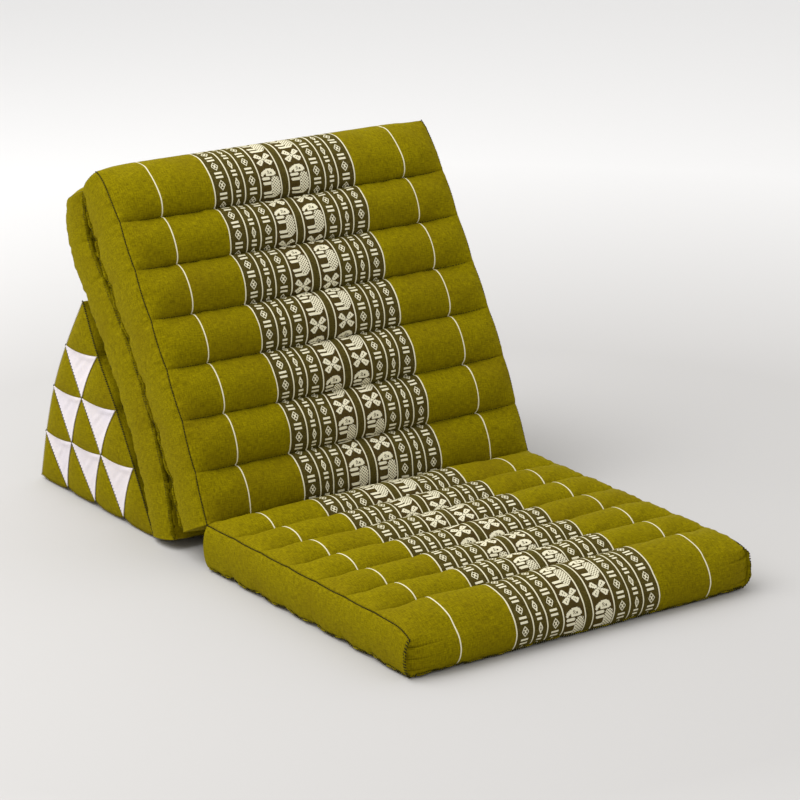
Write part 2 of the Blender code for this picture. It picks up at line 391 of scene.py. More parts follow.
EYE_CHART = """
.........##.........
........####........
........####........
.......######.......
......###..###......
......##....##......
.....###.##.###.....
.....##..##..##.....
.....###.##.###.....
......##....##......
......###..###......
.......######.......
........####........
........####........
.........##.........
....................
....................
....############....
....############....
....############....
....................
....................
....................
....############....
....############....
....############....
....................
....................
....................
"""
CHART_BITS = 24         # a colour channel of a ramp holds that many threads exactly
BAND_HALF = 0.1087      # from the middle of the band to its edge
COLUMN_EDGES = (0.0059, 0.0385, 0.0628, 0.0835, BAND_HALF)
PINSTRIPE = 0.190
LINE_HALF = 0.0009
BEAST_CENTRE = 0.0222
BEAST_OFFSET = 0.0008   # they stand a little to the right in both columns
BEAST_THREAD = 0.00114
BEAST_PICK = 0.001333
LATTICE = 0.0042        # between the dots of a row in a body, some wider than real so that they show
LATTICE_LEVEL = 0.28    # above it a dot is dark
BORDER_CENTRES = (0.05065, 0.07315, 0.0961)
BORDER_THREAD = 0.00060
BORDER_THREADS = 20
BORDER_PICK = 0.000993
BORDER_SHIFT = -0.0065  # from an elephant's first pick to a diamond's
THREAD = 0.0010         # spacing of the threads, about twice the real one so that it shows
YARN_RUN = 0.12         # spacing over the length in which a yarn keeps its shade
WORN_SCALE = 9.0        # patches in a metre where the dye is darker
RELIEF = 0.0003
GREEN_WARP = "877A00"
GREEN_WEFT = "5F5400"
GREEN_SLUB = "5E4A06"
GREEN_FUZZ = "A89A00"
GROUND_WARP = "51481F"
GROUND_WEFT = "352B0E"
GROUND_BROWN = "3A2A16"
CREAM = "D8D2B6"


def chart_rows(chart, letters):
    """Returns the chart's rows as fractions, with each of these letters as one binary digit."""
    rows = []
    for line in chart.split():
        digits = [2 ** (CHART_BITS - 1 - i) for i, letter in enumerate(line) if letter in letters]
        rows.append(sum(digits) / 2 ** CHART_BITS)
    return rows


def chart_ramp(tree, row, charts):
    """Adds a ramp with the charts in its colour channels, read at a row, and returns their values."""
    count = max(len(rows) for rows in charts)
    centre = add(tree, "ShaderNodeMath", {0: row, 1: 0.5}, operation="ADD")
    place = add(tree, "ShaderNodeMath", {0: centre, 1: count}, operation="DIVIDE")
    colour = add(tree, "ShaderNodeValToRGB", {0: place})
    stops = colour.node.color_ramp
    stops.interpolation = "CONSTANT"
    stops.elements.remove(stops.elements[-1])
    for number in range(count):
        stop = stops.elements.new(number / count) if number else stops.elements[0]
        values = [rows[number] if number < len(rows) else 0.0 for rows in charts]
        stop.color = (values + [0.0, 0.0, 0.0])[:3] + [1.0]
    split = add(tree, "ShaderNodeSeparateColor", {0: colour}).node
    return [split.outputs[i] for i in range(len(charts))]


def chart_thread(tree, value, column):
    """Reads one binary digit of a chart's row: 1 where the cream thread shows."""
    power = add(tree, "ShaderNodeMath", {0: column, 1: 1.0}, operation="ADD")
    scale = add(tree, "ShaderNodeMath", {0: 2.0, 1: power}, operation="POWER")
    whole = add(tree, "ShaderNodeMath", {0: scale}, operation="ROUND")
    shifted = add(tree, "ShaderNodeMath", {0: value, 1: whole}, operation="MULTIPLY")
    floor = add(tree, "ShaderNodeMath", {0: shifted}, operation="FLOOR")
    return add(tree, "ShaderNodeMath", {0: floor, 1: 2.0}, operation="MODULO")


def chart_place(tree, spot, length, thread, threads, pick, picks):
    """Returns a spot's column and row in a chart, and 1 where the chart's width holds it."""
    column = add(tree, "ShaderNodeMath", {0: spot, 1: thread}, operation="DIVIDE")
    column = add(tree, "ShaderNodeMath", {0: column, 1: threads / 2}, operation="ADD")
    column = add(tree, "ShaderNodeMath", {0: column}, operation="FLOOR")
    row = add(tree, "ShaderNodeMath", {0: length, 1: -pick}, operation="DIVIDE")
    row = add(tree, "ShaderNodeMath", {0: row, 1: picks, 2: 0.0}, operation="WRAP")
    row = add(tree, "ShaderNodeMath", {0: row}, operation="FLOOR")
    reach = add(tree, "ShaderNodeMath", {0: spot}, operation="ABSOLUTE")
    inside = add(tree, "ShaderNodeMath", {0: reach, 1: thread * threads / 2}, operation="LESS_THAN")
    return column, row, inside


def large_figures(tree, across, length):
    """Adds the two columns of elephants and blossoms: returns where their cream threads show."""
    side = add(tree, "ShaderNodeMath", {0: across}, operation="SIGN")
    spot = add(tree, "ShaderNodeMath", {0: side, 1: -BEAST_CENTRE, 2: across}, operation="MULTIPLY_ADD")
    spot = add(tree, "ShaderNodeMath", {0: spot, 1: BEAST_OFFSET}, operation="SUBTRACT")
    beasts = chart_rows(ELEPHANT_CHART, "#x")
    bodies = chart_rows(ELEPHANT_CHART, "x")
    blossoms = chart_rows(BLOSSOM_CHART, "#")
    thread, pick, inside = chart_place(tree, spot, length, BEAST_THREAD, CHART_BITS, BEAST_PICK,
                                       len(beasts) + len(blossoms))
    later = add(tree, "ShaderNodeMath", {0: pick, 1: len(beasts) - 0.5}, operation="GREATER_THAN")
    earlier = add(tree, "ShaderNodeMath", {0: 1.0, 1: later}, operation="SUBTRACT")
    row = add(tree, "ShaderNodeMath", {0: pick, 1: len(beasts)}, operation="MODULO")
    beast, blossom, body = chart_ramp(tree, row, [beasts, blossoms, bodies])
    rows = add(tree, "ShaderNodeMix", {0: later, 2: beast, 3: blossom})
    shown = chart_thread(tree, rows, thread)
    hatched = chart_thread(tree, body, thread)
    hatched = add(tree, "ShaderNodeMath", {0: hatched, 1: earlier}, operation="MULTIPLY")
    waves = []
    for place in (across, length):
        turn = add(tree, "ShaderNodeMath", {0: place, 1: 2 * math.pi / LATTICE}, operation="MULTIPLY")
        waves.append(add(tree, "ShaderNodeMath", {0: turn}, operation="COSINE"))
    dots = add(tree, "ShaderNodeMath", {0: waves[0], 1: waves[1]}, operation="MULTIPLY")
    dots = add(tree, "ShaderNodeMath", {0: dots, 1: LATTICE_LEVEL}, operation="GREATER_THAN")
    dots = add(tree, "ShaderNodeMath", {0: dots, 1: hatched}, operation="MULTIPLY")
    shown = add(tree, "ShaderNodeMath", {0: shown, 1: dots}, operation="SUBTRACT")
    return add(tree, "ShaderNodeMath", {0: shown, 1: inside}, operation="MULTIPLY")


def small_figures(tree, from_middle, length):
    """Adds the columns of diamonds, eyes and bars: returns where their cream threads show."""
    past = [add(tree, "ShaderNodeMath", {0: from_middle, 1: edge}, operation="GREATER_THAN")
            for edge in COLUMN_EDGES[1:4]]
    centre = BORDER_CENTRES[0]
    for i in (1, 2):
        step = BORDER_CENTRES[i] - BORDER_CENTRES[i - 1]
        centre = add(tree, "ShaderNodeMath", {0: past[i], 1: step, 2: centre}, operation="MULTIPLY_ADD")
    spot = add(tree, "ShaderNodeMath", {0: from_middle, 1: centre}, operation="SUBTRACT")
    narrow = add(tree, "ShaderNodeMath", {0: past[1], 1: past[2]}, operation="SUBTRACT")
    diamonds = chart_rows(DIAMOND_CHART, "#")
    eyes = chart_rows(EYE_CHART, "#")
    shifted = add(tree, "ShaderNodeMath", {0: length, 1: BORDER_SHIFT}, operation="SUBTRACT")
    thread, pick, inside = chart_place(tree, spot, shifted, BORDER_THREAD, BORDER_THREADS, BORDER_PICK,
                                       len(diamonds))
    diamond, eye = chart_ramp(tree, pick, [diamonds, eyes])
    rows = add(tree, "ShaderNodeMix", {0: narrow, 2: diamond, 3: eye})
    shown = chart_thread(tree, rows, thread)
    shown = add(tree, "ShaderNodeMath", {0: shown, 1: inside}, operation="MULTIPLY")
    return add(tree, "ShaderNodeMath", {0: shown, 1: past[0]}, operation="MULTIPLY")


def woven_pattern(tree, across, length):
    """Adds the band: returns where its ground lies and where cream threads show."""
    from_middle = add(tree, "ShaderNodeMath", {0: across}, operation="ABSOLUTE")
    ground = add(tree, "ShaderNodeMath", {0: from_middle, 1: BAND_HALF}, operation="LESS_THAN")
    lines = 0.0
    for edge in COLUMN_EDGES + (PINSTRIPE,):
        line = add(tree, "ShaderNodeMath", {0: from_middle, 1: edge, 2: LINE_HALF}, operation="COMPARE")
        lines = add(tree, "ShaderNodeMath", {0: lines, 1: line}, operation="MAXIMUM")
    large = large_figures(tree, across, length)
    small = small_figures(tree, from_middle, length)
    cream = add(tree, "ShaderNodeMath", {0: large, 1: small}, operation="MAXIMUM")
    cream = add(tree, "ShaderNodeMath", {0: cream, 1: ground}, operation="MULTIPLY")
    return ground, add(tree, "ShaderNodeMath", {0: cream, 1: lines}, operation="MAXIMUM")


def woven_cotton(name, warp, weft, slub, fuzz, patterned=False):
    """Plain-woven cotton of two thread colours, matt, with slubs and a soft fuzz that catches light."""
    material = bpy.data.materials.new(name)
    material.use_nodes = True
    tree = material.node_tree
    shader = tree.nodes["Principled BSDF"]
    place = add(tree, "ShaderNodeUVMap", {}, uv_map="weave")
    split = add(tree, "ShaderNodeSeparateXYZ", {0: place}).node
    across, length = split.outputs[0], split.outputs[1]
    yarns = []
    for scale in ((1 / THREAD, YARN_RUN / THREAD, 1.0), (YARN_RUN / THREAD, 1 / THREAD, 1.0)):
        run = add(tree, "ShaderNodeMapping", {"Vector": place, "Scale": scale})
        yarns.append(add(tree, "ShaderNodeTexNoise", {"Vector": run, "Scale": 1.0, "Detail": 2.0}))
    warp_yarn, weft_yarn = yarns
    patches = add(tree, "ShaderNodeTexNoise", {"Vector": place, "Scale": WORN_SCALE, "Detail": 3.0})
    both = add(tree, "ShaderNodeMath", {0: warp_yarn, 1: weft_yarn}, operation="ADD")
    share = add(tree, "ShaderNodeMapRange", {0: both, 1: 0.75, 2: 1.25, 3: 0.0, 4: 1.0})
    dyed = add(tree, "ShaderNodeMix", {0: share, 6: linear(warp), 7: linear(weft)}, 2, data_type="RGBA")
    worn = add(tree, "ShaderNodeMapRange", {0: patches, 1: 0.45, 2: 0.75, 3: 0.0, 4: 0.35})
    colour = add(tree, "ShaderNodeMix", {0: worn, 6: dyed, 7: linear(slub)}, 2, data_type="RGBA")
    raised = both
    if patterned:
        ground, cream = woven_pattern(tree, across, length)
        dark = add(tree, "ShaderNodeMix", {0: share, 6: linear(GROUND_WARP), 7: linear(GROUND_WEFT)}, 2,
                   data_type="RGBA")
        from_middle = add(tree, "ShaderNodeMath", {0: across}, operation="ABSOLUTE")
        half = (COLUMN_EDGES[1] - COLUMN_EDGES[0]) / 2
        brown = add(tree, "ShaderNodeMath", {0: from_middle, 1: COLUMN_EDGES[0] + half, 2: half},
                    operation="COMPARE")
        brown = add(tree, "ShaderNodeMath", {0: brown, 1: warp_yarn}, operation="MULTIPLY")
        dark = add(tree, "ShaderNodeMix", {0: brown, 6: dark, 7: linear(GROUND_BROWN)}, 2,
                   data_type="RGBA")
        colour = add(tree, "ShaderNodeMix", {0: ground, 6: colour, 7: dark}, 2, data_type="RGBA")
        colour = add(tree, "ShaderNodeMix", {0: cream, 6: colour, 7: linear(CREAM)}, 2, data_type="RGBA")
        raised = add(tree, "ShaderNodeMath", {0: cream, 1: 1.2, 2: both}, operation="MULTIPLY_ADD")
    bump = add(tree, "ShaderNodeBump", {"Height": raised, "Strength": 0.5, "Distance": RELIEF})
    tree.links.new(colour, shader.inputs["Base Color"])
    tree.links.new(bump, shader.inputs["Normal"])
    shader.inputs["Roughness"].default_value = 0.85
    shader.inputs["Specular IOR Level"].default_value = 0.04
    shader.inputs["Sheen Weight"].default_value = 0.2
    shader.inputs["Sheen Roughness"].default_value = 0.5
    shader.inputs["Sheen Tint"].default_value = linear(fuzz)
    return material


def coordinates(data, key="co"):
    """Returns the places of a mesh's points, or their normals."""
    values = np.empty(len(data.vertices) * 3)
    data.vertices.foreach_get(key, values)
    return values.reshape(-1, 3)


def cage_marks(data):
    """Returns each point's place across the mat and along its channels, and its height in the mat."""
    marks = []
    for mark in MARKS:
        marks.append(np.empty(len(data.vertices)))
        data.attributes[mark].data.foreach_get("value", marks[-1])
    return marks


def filled(piece, sewn):
    """Lets the filling press the cloth out between its seams, each point by less than the cap."""
    before = coordinates(piece.data)
    group = piece.vertex_groups.new(name="sewn")
    group.add(sewn, 1.0, "REPLACE")
    cloth = piece.modifiers.new("filling", "CLOTH")
    cloth.settings.quality = 4
    cloth.settings.mass = 0.2
    cloth.settings.tension_stiffness = 8.0
    cloth.settings.compression_stiffness = 8.0
    cloth.settings.bending_stiffness = 0.05
    cloth.settings.shrink_min = -0.03
    cloth.settings.use_pressure = True
    cloth.settings.uniform_pressure_force = 4.0
    cloth.settings.vertex_group_mass = group.name
    cloth.settings.effector_weights.gravity = 0.0
    cloth.point_cache.frame_end = SETTLING_FRAMES
    for step in range(1, SETTLING_FRAMES + 1):
        bpy.context.scene.frame_set(step)
    settled = piece.evaluated_get(bpy.context.evaluated_depsgraph_get())
    motion = coordinates(settled.data) - before
    piece.modifiers.remove(cloth)
    piece.vertex_groups.remove(group)
    bpy.context.scene.frame_set(1)
    motion *= CAP / (CAP + np.linalg.norm(motion, axis=1, keepdims=True))
    piece.data.vertices.foreach_set("co", (before + motion).ravel())


def refined(piece):
    """Applies one subdivision."""
    rounding = piece.modifiers.new("rounding", "SUBSURF")
    rounding.levels = 1
    rounding.render_levels = 1
    rounding.uv_smooth = "PRESERVE_CORNERS"
    bpy.context.view_layer.objects.active = piece
    bpy.ops.object.modifier_apply(modifier=rounding.name)


def gathered(piece, seed):
    """Moves the points of a mat's cloth in and out, in the small gathers that run off each sewn crease."""
    data = piece.data
    across, place, height = cage_marks(data)
    draws = np.random.default_rng(seed)
    from_side = WIDTH / 2 - np.abs(across)
    move = np.zeros(len(place))
    for crease in range(CHANNELS + 1):
        near = np.exp(-np.abs(place - crease) * SEAT_PITCH / GATHER_REACH)
        wave = np.zeros(len(place))
        for length, size in GATHERS:
            phase, drift = draws.uniform(0, 2 * math.pi, 2)
            bend = GATHER_BEND * np.sin(across * 2 * math.pi / GATHER_DRIFT + drift)
            wave += size * np.sin(across * 2 * math.pi / length + phase + bend)
        move += near * wave
    for _ in range(UNEVEN_WAVES):
        kx, kp, phase = draws.uniform(-1, 1), draws.uniform(-1, 1), draws.uniform(0, 2 * math.pi)
        move += UNEVEN * np.sin(across * kx * UNEVEN_ACROSS + place * kp * UNEVEN_ALONG + phase)
    move *= np.clip(from_side / GATHER_START, 0, 1) * np.clip(abs(height - 0.5) * 4 - 1, 0, 1)
    in_wall = (height > NEAR) & (height < 1 - NEAR)
    # Puckers that the side seams draw in, on the face and on the side panel
    seam_wave = np.zeros(len(place))
    for length, size in PUCKERS:
        seam_wave += size * np.sin(place * SEAT_PITCH * 2 * math.pi / length
                                   + draws.uniform(0, 2 * math.pi) + np.sign(across))
    to_seam = np.where(in_wall, np.minimum(height, 1 - height) * SEAT_THICKNESS, from_side)
    on_panel = in_wall & (from_side < NEAR)
    fade = np.exp(-to_seam / PUCKER_REACH) * np.clip(to_seam / PUCKER_START, 0, 1)
    move += np.where(on_panel | ~in_wall, seam_wave * fade, 0.0)
    # Short pleats where the wrapped end is gathered into its corners
    at_end = in_wall & (place > CHANNELS - NEAR)
    for level, depth in PLEATS:
        groove = np.exp(-((height - level) / PLEAT_WIDTH) ** 2) * np.exp(-from_side / PLEAT_REACH)
        move -= np.where(at_end, depth * groove * np.clip(from_side / PLEAT_START, 0, 1), 0.0)
    points = coordinates(data) + coordinates(data, "normal") * move[:, None]
    points[:, 2] = np.maximum(points[:, 2], 0.0)
    data.vertices.foreach_set("co", points.ravel())
    data.update()


def seam_line(piece, chosen, key):
    """Returns the chosen points of a piece in the order of a key, and their normals."""
    order = np.nonzero(chosen)[0]
    order = order[np.argsort(key[order])]
    return coordinates(piece.data)[order], coordinates(piece.data, "normal")[order]


def mat_seams(piece):
    """Returns the lines of a mat's seams and clears the marks that they are found by."""
    across, place, height = cage_marks(piece.data)
    for mark in MARKS:
        piece.data.attributes.remove(piece.data.attributes[mark])
    half = WIDTH / 2
    at_face, at_under, at_end = height > 1 - NEAR, height < NEAR, place > CHANNELS - NEAR
    seams = {"crease": [], "face": [], "under": [], "corner": []}
    for crease in range(1, CHANNELS):
        on_crease = (abs(place - crease) < NEAR) & (abs(across) < half - CREASE_START)
        for at_level in (at_under, at_face):
            seams["crease"].append(seam_line(piece, on_crease & at_level, across))
    for side in (-1, 1):
        on_side = across * side > half - NEAR
        seams["face"].append(seam_line(piece, on_side & at_face, place))
        seams["under"].append(seam_line(piece, on_side & at_under, place))
        seams["corner"].append(seam_line(piece, on_side & at_end, height))
    seams["end"] = [seam_line(piece, at_under & at_end, across)]
    return seams


def unit(vectors):
    """Returns the vectors with a length of 1."""
    return vectors / np.linalg.norm(vectors, axis=1, keepdims=True)


def laid_along(points, outward, pitch):
    """Returns places at equal distances on a line, and there its direction and the way outward."""
    lengths = np.linalg.norm(np.diff(points, axis=0), axis=1)
    ends = np.concatenate([[0.0], np.cumsum(lengths)])
    stops = np.linspace(0.0, ends[-1], max(int(ends[-1] / pitch), 2))
    spans = np.clip(np.searchsorted(ends, stops, side="right") - 1, 0, len(lengths) - 1)
    shares = ((stops - ends[spans]) / np.maximum(lengths[spans], 1e-9))[:, None]
    along = unit(points[spans + 1] - points[spans])
    out = outward[spans] * (1 - shares) + outward[spans + 1] * shares
    out -= along * np.sum(out * along, axis=1, keepdims=True)
    return points[spans] * (1 - shares) + points[spans + 1] * shares, along, unit(out)


def piece_of(name, data, materials):
    """Makes a mesh a smooth piece of the cushion, with its materials."""
    for face in data.polygons:
        face.use_smooth = True
    for material in materials:
        data.materials.append(material)
    piece = bpy.data.objects.new(name, data)
    bpy.context.scene.collection.objects.link(piece)
    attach(piece, "root")
    return piece


def stitching(name, lines, stitch, thread):
    """Makes one piece of all the stitches on some lines, each a copy of one rounded stitch."""
    bpy.ops.mesh.primitive_uv_sphere_add(segments=6, ring_count=4, radius=1.0)
    model = bpy.context.object
    shape = np.array([vert.co for vert in model.data.vertices])[:, [2, 0, 1]]
    shape *= (stitch.length / 2, stitch.thickness / 2, stitch.thickness / 2)
    faces = [tuple(face.vertices) for face in model.data.polygons]
    bpy.data.objects.remove(model)
    draws = np.random.default_rng(len(lines))
    verts = []
    for points, normals in lines:
        middles, along, out = laid_along(points, normals, stitch.pitch)
        beside = np.cross(out, along)
        slants = stitch.slant + draws.normal(0.0, SLANT_SPREAD, len(middles))[:, None]
        heading = along * np.cos(slants) + beside * np.sin(slants)
        beside = np.cross(out, heading)
        middles = middles + out * stitch.lift
        for axes in zip(middles, heading, beside, out):
            verts.append(axes[0] + shape @ np.array(axes[1:]))
    count = len(shape)
    data = bpy.data.meshes.new(name)
    data.from_pydata(np.concatenate(verts).tolist(), [],
                     [tuple(i + k * count for i in face) for k in range(len(verts)) for face in faces])
    piece_of(name, data, [thread])


def tapered(points):
    """Returns how wide a welt is at each point of its line, 1 but for its ends."""
    steps = np.linalg.norm(np.diff(points, axis=0), axis=1)
    run = np.concatenate([[0.0], np.cumsum(steps)])
    return np.clip(np.minimum(run, run[-1] - run) / WELT_TAPER, WELT_TIP, 1)


def welts(name, lines, seed):
    """Makes the narrow ridges of folded cloth that stand out along some seams, away from the filling."""
    draws = np.random.default_rng(seed)
    verts, faces, places = [], [], []
    for points, outward in lines:
        middles, along, out = laid_along(points, outward, WELT_PITCH)
        up = np.cross(along, out)
        up *= np.where(up[:, 2:] < 0, -1.0, 1.0)
        run = np.arange(len(middles)) * WELT_PITCH
        wide = 1 + sum(size * np.sin(run / length + draws.uniform(0, 6)) for length, size in WELT_WAVES)
        wide *= WELT_WIDTH * tapered(middles)
        size = len(WELT_SECTION)
        first = size * len(verts)
        for k, middle in enumerate(middles):
            verts.append([middle + out[k] * wide[k] * a + up[k] * WELT_THICKNESS * b
                          for a, b in WELT_SECTION])
            places += [(run[k], step * THREAD) for step in range(size)]
        last = first + (len(middles) - 1) * size
        for start in range(first, last, size):
            for step in range(size):
                a, b = start + step, start + (step + 1) % size
                faces.append((a, b, b + size, a + size))
        faces += [tuple(range(first, first + size)), tuple(range(last, last + size))]
    data = bpy.data.meshes.new(name)
    data.from_pydata([tuple(point) for ring in verts for point in ring], [], faces)
    weave = data.uv_layers.new(name="weave")
    for loop in data.loops:
        weave.data[loop.index].uv = places[loop.vertex_index]
    shell = bmesh.new()
    shell.from_mesh(data)
    bmesh.ops.recalc_face_normals(shell, faces=shell.faces[:])
    shell.to_mesh(data)
    shell.free()
    piece_of(name, data, [plain_cloth])


def sewn(name, seams, closed_end=False):
    """Sews a mat: fine stitches in its creases and face seams, overcast welts around its other edges."""
    stitching(f"{name}_crease_stitches", seams["crease"], RUNNING, dark_thread)
    stitching(f"{name}_seam_stitches", seams["face"], FINE, dark_thread)
    if not closed_end:
        stitching(f"{name}_corner_stitches", seams["corner"], SUNK, dark_thread)
    ridges, overcast = [], []
    for key in ("under", "corner", "end") if closed_end else ("under",):
        lift = WELT_LIFT if closed_end and key != "corner" else 0.0
        for points, _ in seams[key]:
            outward = np.zeros_like(points)
            outward[:, 0] = 0.0 if key == "end" else np.sign(points[:, 0])
            outward[:, 1] = 0.0 if key == "under" else -1.0
            outward = unit(outward)
            raised = points + (0.0, 0.0, lift)
            ridges.append((raised, outward))
            reach = WELT_WIDTH * OVERCAST_SHARE * tapered(points)[:, None]
            overcast.append((raised + outward * reach, outward))
    welts(f"{name}_seam_welts", ridges, len(name))
    stitch = OVERCAST if closed_end else EDGING
    stitching(f"{name}_edge_stitches", overcast, stitch, dark_thread)


GATHERS = ((0.013, 0.00025), (0.021, 0.00035), (0.037, 0.0004))  # each wave's length and height
GATHER_REACH = 0.011    # from a crease to where its gathers fade
GATHER_START = 0.02     # from a side seam to where they are full
GATHER_BEND = 0.35
GATHER_DRIFT = 0.11
UNEVEN_WAVES = 8
UNEVEN = 0.00022        # filling that lies unevenly, for each wave
UNEVEN_ACROSS = 60
UNEVEN_ALONG = 5
SETTLING_FRAMES = 20
CAP = 0.002             # how far the filling may press a point of the cloth
HELD_REACH = 0.012      # beside a side seam, where the seam holds it
PUCKERS = ((0.0105, 0.00035), (0.017, 0.0005), (0.031, 0.0006))
PUCKER_REACH = 0.009
PUCKER_START = 0.003
PLEATS = ((0.20, 0.0044), (0.35, 0.0010), (0.50, 0.0036), (0.65, 0.0010), (0.80, 0.0052))
PLEAT_WIDTH = 0.014     # in thicknesses of the mat
PLEAT_REACH = 0.016     # from the corner
PLEAT_START = 0.001
CREASE_START = 0.014    # from a side seam to the first stitch of a crease
WELT_PITCH = 0.0025
WELT_WIDTH = 0.0050     # from the seam, which is drawn in
WELT_TAPER = 0.009      # part of its run in which an end grows to the full width
WELT_TIP = 0.1          # width of an end, as a part of the full one
WELT_THICKNESS = 0.0018
WELT_LIFT = 0.0028      # over the floor
WELT_WAVES = ((0.0061, 0.18), (0.0023, 0.12))
OVERCAST_SHARE = 0.85   # how far out on a welt its stitches lie
WELT_SECTION = ((-0.4, -0.5), (0.6, -0.5), (1.0, -0.2), (1.0, 0.2), (0.6, 0.5), (-0.4, 0.5))
SLANT_SPREAD = 0.06     # how unevenly a hand sets its stitches
THREAD_LIGHT = "343010"
THREAD_DARK = "151206"
THREAD_TWIST = 0.0007   # along the thread, from ply to ply

# A hand's or machine's stitch: spacing, length, thickness, turn from the seam, height over the cloth
Stitch = namedtuple("Stitch", "pitch length thickness slant lift")
RUNNING = Stitch(0.0040, 0.0034, 0.0011, 0.0, 0.0004)
FINE = Stitch(0.0037, 0.0040, 0.0014, 0.15, 0.0012)
SUNK = Stitch(0.0037, 0.0040, 0.0014, 0.15, -0.0002)
OVERCAST = Stitch(0.0034, 0.0050, 0.0019, 0.95, 0.0003)
EDGING = Stitch(0.0034, 0.0038, 0.0010, 0.9, 0.0003)

top_cloth = woven_cotton("patterned_woven_cotton", GREEN_WARP, GREEN_WEFT, GREEN_SLUB, GREEN_FUZZ,
                         patterned=True)
plain_cloth = woven_cotton("plain_woven_cotton", GREEN_WARP, GREEN_WEFT, GREEN_SLUB, GREEN_FUZZ)


def twisted_thread(name, light, dark):
    """Spun sewing thread, matt: its twist shows as fine light and dark turns."""
    material = bpy.data.materials.new(name)
    material.use_nodes = True
    tree = material.node_tree
    place = add(tree, "ShaderNodeTexCoord", {}, output=3)
    turns = add(tree, "ShaderNodeTexNoise", {"Vector": place, "Scale": 1 / THREAD_TWIST, "Detail": 2.0})
    colour = add(tree, "ShaderNodeMix", {0: turns, 6: linear(dark), 7: linear(light)}, 2, data_type="RGBA")
    bump = add(tree, "ShaderNodeBump", {"Height": turns, "Strength": 0.4, "Distance": 0.0002})
    shader = tree.nodes["Principled BSDF"]
    tree.links.new(colour, shader.inputs["Base Color"])
    tree.links.new(bump, shader.inputs["Normal"])
    shader.inputs["Roughness"].default_value = 0.8
    shader.inputs["Specular IOR Level"].default_value = 0.1
    return material


dark_thread = twisted_thread("spun_cotton_thread", THREAD_LIGHT, THREAD_DARK)
green_thread = twisted_thread("green_cotton_thread", GREEN_WARP, GREEN_SLUB)


def mat_piece(name, cloth, node, seed):
    """Makes a mat of cloth and filling in place of its solid."""
    piece = piece_of(name, mat_mesh(name, cloth), [top_cloth, plain_cloth])
    across, place, height = cage_marks(piece.data)
    held = (abs(place % 1) < NEAR) | (abs(across) > WIDTH / 2 - HELD_REACH) | (height < 1.0)
    filled(piece, np.nonzero(held)[0].tolist())
    refined(piece)
    gathered(piece, seed)
    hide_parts(node)
    return mat_seams(piece)


seat_places = [SEAT_HINGE_Y - SEAT_PITCH * i for i in range(CHANNELS)] + [SEAT_FRONT_Y]
seat_folds = [Fold(y, SEAT_THICKNESS, y, 0.0, CREST) for y in seat_places]
seat_cloth = measured(seat_folds, SEAT_PATTERN, -1)
seat_seams = mat_piece("seat_mat", seat_cloth, "mat_seat", 3)
sewn("seat", seat_seams, closed_end=True)

# Back mat.
# A second mat of the same make that leans back from the hinge. Its patterned cloth continues the
# seat's and wraps over the top edge down to the underside.

BACK_FOLDS = (
    Fold(0.0043, 0.0605, 0.0665, 0.0323, CREST),
    Fold(0.0310, 0.1230, 0.0925, 0.0950, CREST),
    Fold(0.0600, 0.1860, 0.1240, 0.1540, CREST),
    Fold(0.0950, 0.2470, 0.1580, 0.2110, CREST),
    Fold(0.1310, 0.3055, 0.1950, 0.2680, CREST),
    Fold(0.1670, 0.3640, 0.2345, 0.3270, CREST),
    Fold(0.2020, 0.4210, 0.2690, 0.3820, CREST),
    Fold(0.2510, 0.4865, 0.2955, 0.4465, CREST),
)
BACK_PATTERN = 0.0267
back_cloth = measured(BACK_FOLDS, BACK_PATTERN, 1)
back_seams = mat_piece("back_mat", back_cloth, "mat_back", 5)
sewn("back", back_seams)

# Rear mat.
# The third mat hangs from the back mat's top edge, face to the wedge, bent where the wedge presses.

REAR_FOLDS = (
    Fold(0.1496, 0.0050, 0.0915, 0.0146, 0.000),
    Fold(0.1710, 0.0680, 0.1070, 0.0921, 0.005),
    Fold(0.1975, 0.1306, 0.1335, 0.1601, 0.008),
    Fold(0.2298, 0.1900, 0.1675, 0.2249, 0.010),
    Fold(0.2668, 0.2467, 0.2095, 0.2854, 0.009),
    Fold(0.3068, 0.3014, 0.2530, 0.3401, CREST),
    Fold(0.3440, 0.3580, 0.2840, 0.3815, CREST),
    Fold(0.3514, 0.4222, 0.2962, 0.4465, CREST),
)
rear_cloth = measured(REAR_FOLDS, BACK_PATTERN, 1)
rear_seams = mat_piece("rear_mat", rear_cloth, "mat_rear", 9)
sewn("rear", rear_seams)

# Wedge.
# A prism of ten triangular tubes filled with kapok, sewn side by side: four ribs on each long face,
# and ends of green triangles that puff out between sunk pale ones.

WEDGE_WIDTH = 0.508
WEDGE_ROWS = 4
WEDGE_SPLITS = 10
BASE_SEAM_LIFT = 0.009
END_DOME = 0.0045       # whole end, outwards
DOME_FULL = 0.75
END_PUFF = 0.0042       # each green tube's end, outwards
END_FULL = 0.62         # above 0.5, the puffs rise more gently from their seams
BASE_SCALLOP = 0.65     # how far the bottom of the ends hangs between seams, as a part of their lift
END_RECESS = 0.003      # each pale triangle, inwards
SEAM_SAG = 0.05         # level seams between the end's triangles, in rows
SEAM_DRAWN = 0.03       # upright ones, in triangles
WEDGE_WAVES = ((61.0, 3.1, 0.4, 0.0006), (113.0, -5.3, 2.1, 0.0005),
               (197.0, 4.7, 4.4, 0.0004), (23.0, 1.9, 5.2, 0.0008))
SWELL_START = 0.02      # in rows, from the apex and from the base
WEDGE_SWELL = Vector((0.6, 0.8))  # the way in which filling that lies unevenly lifts the cloth

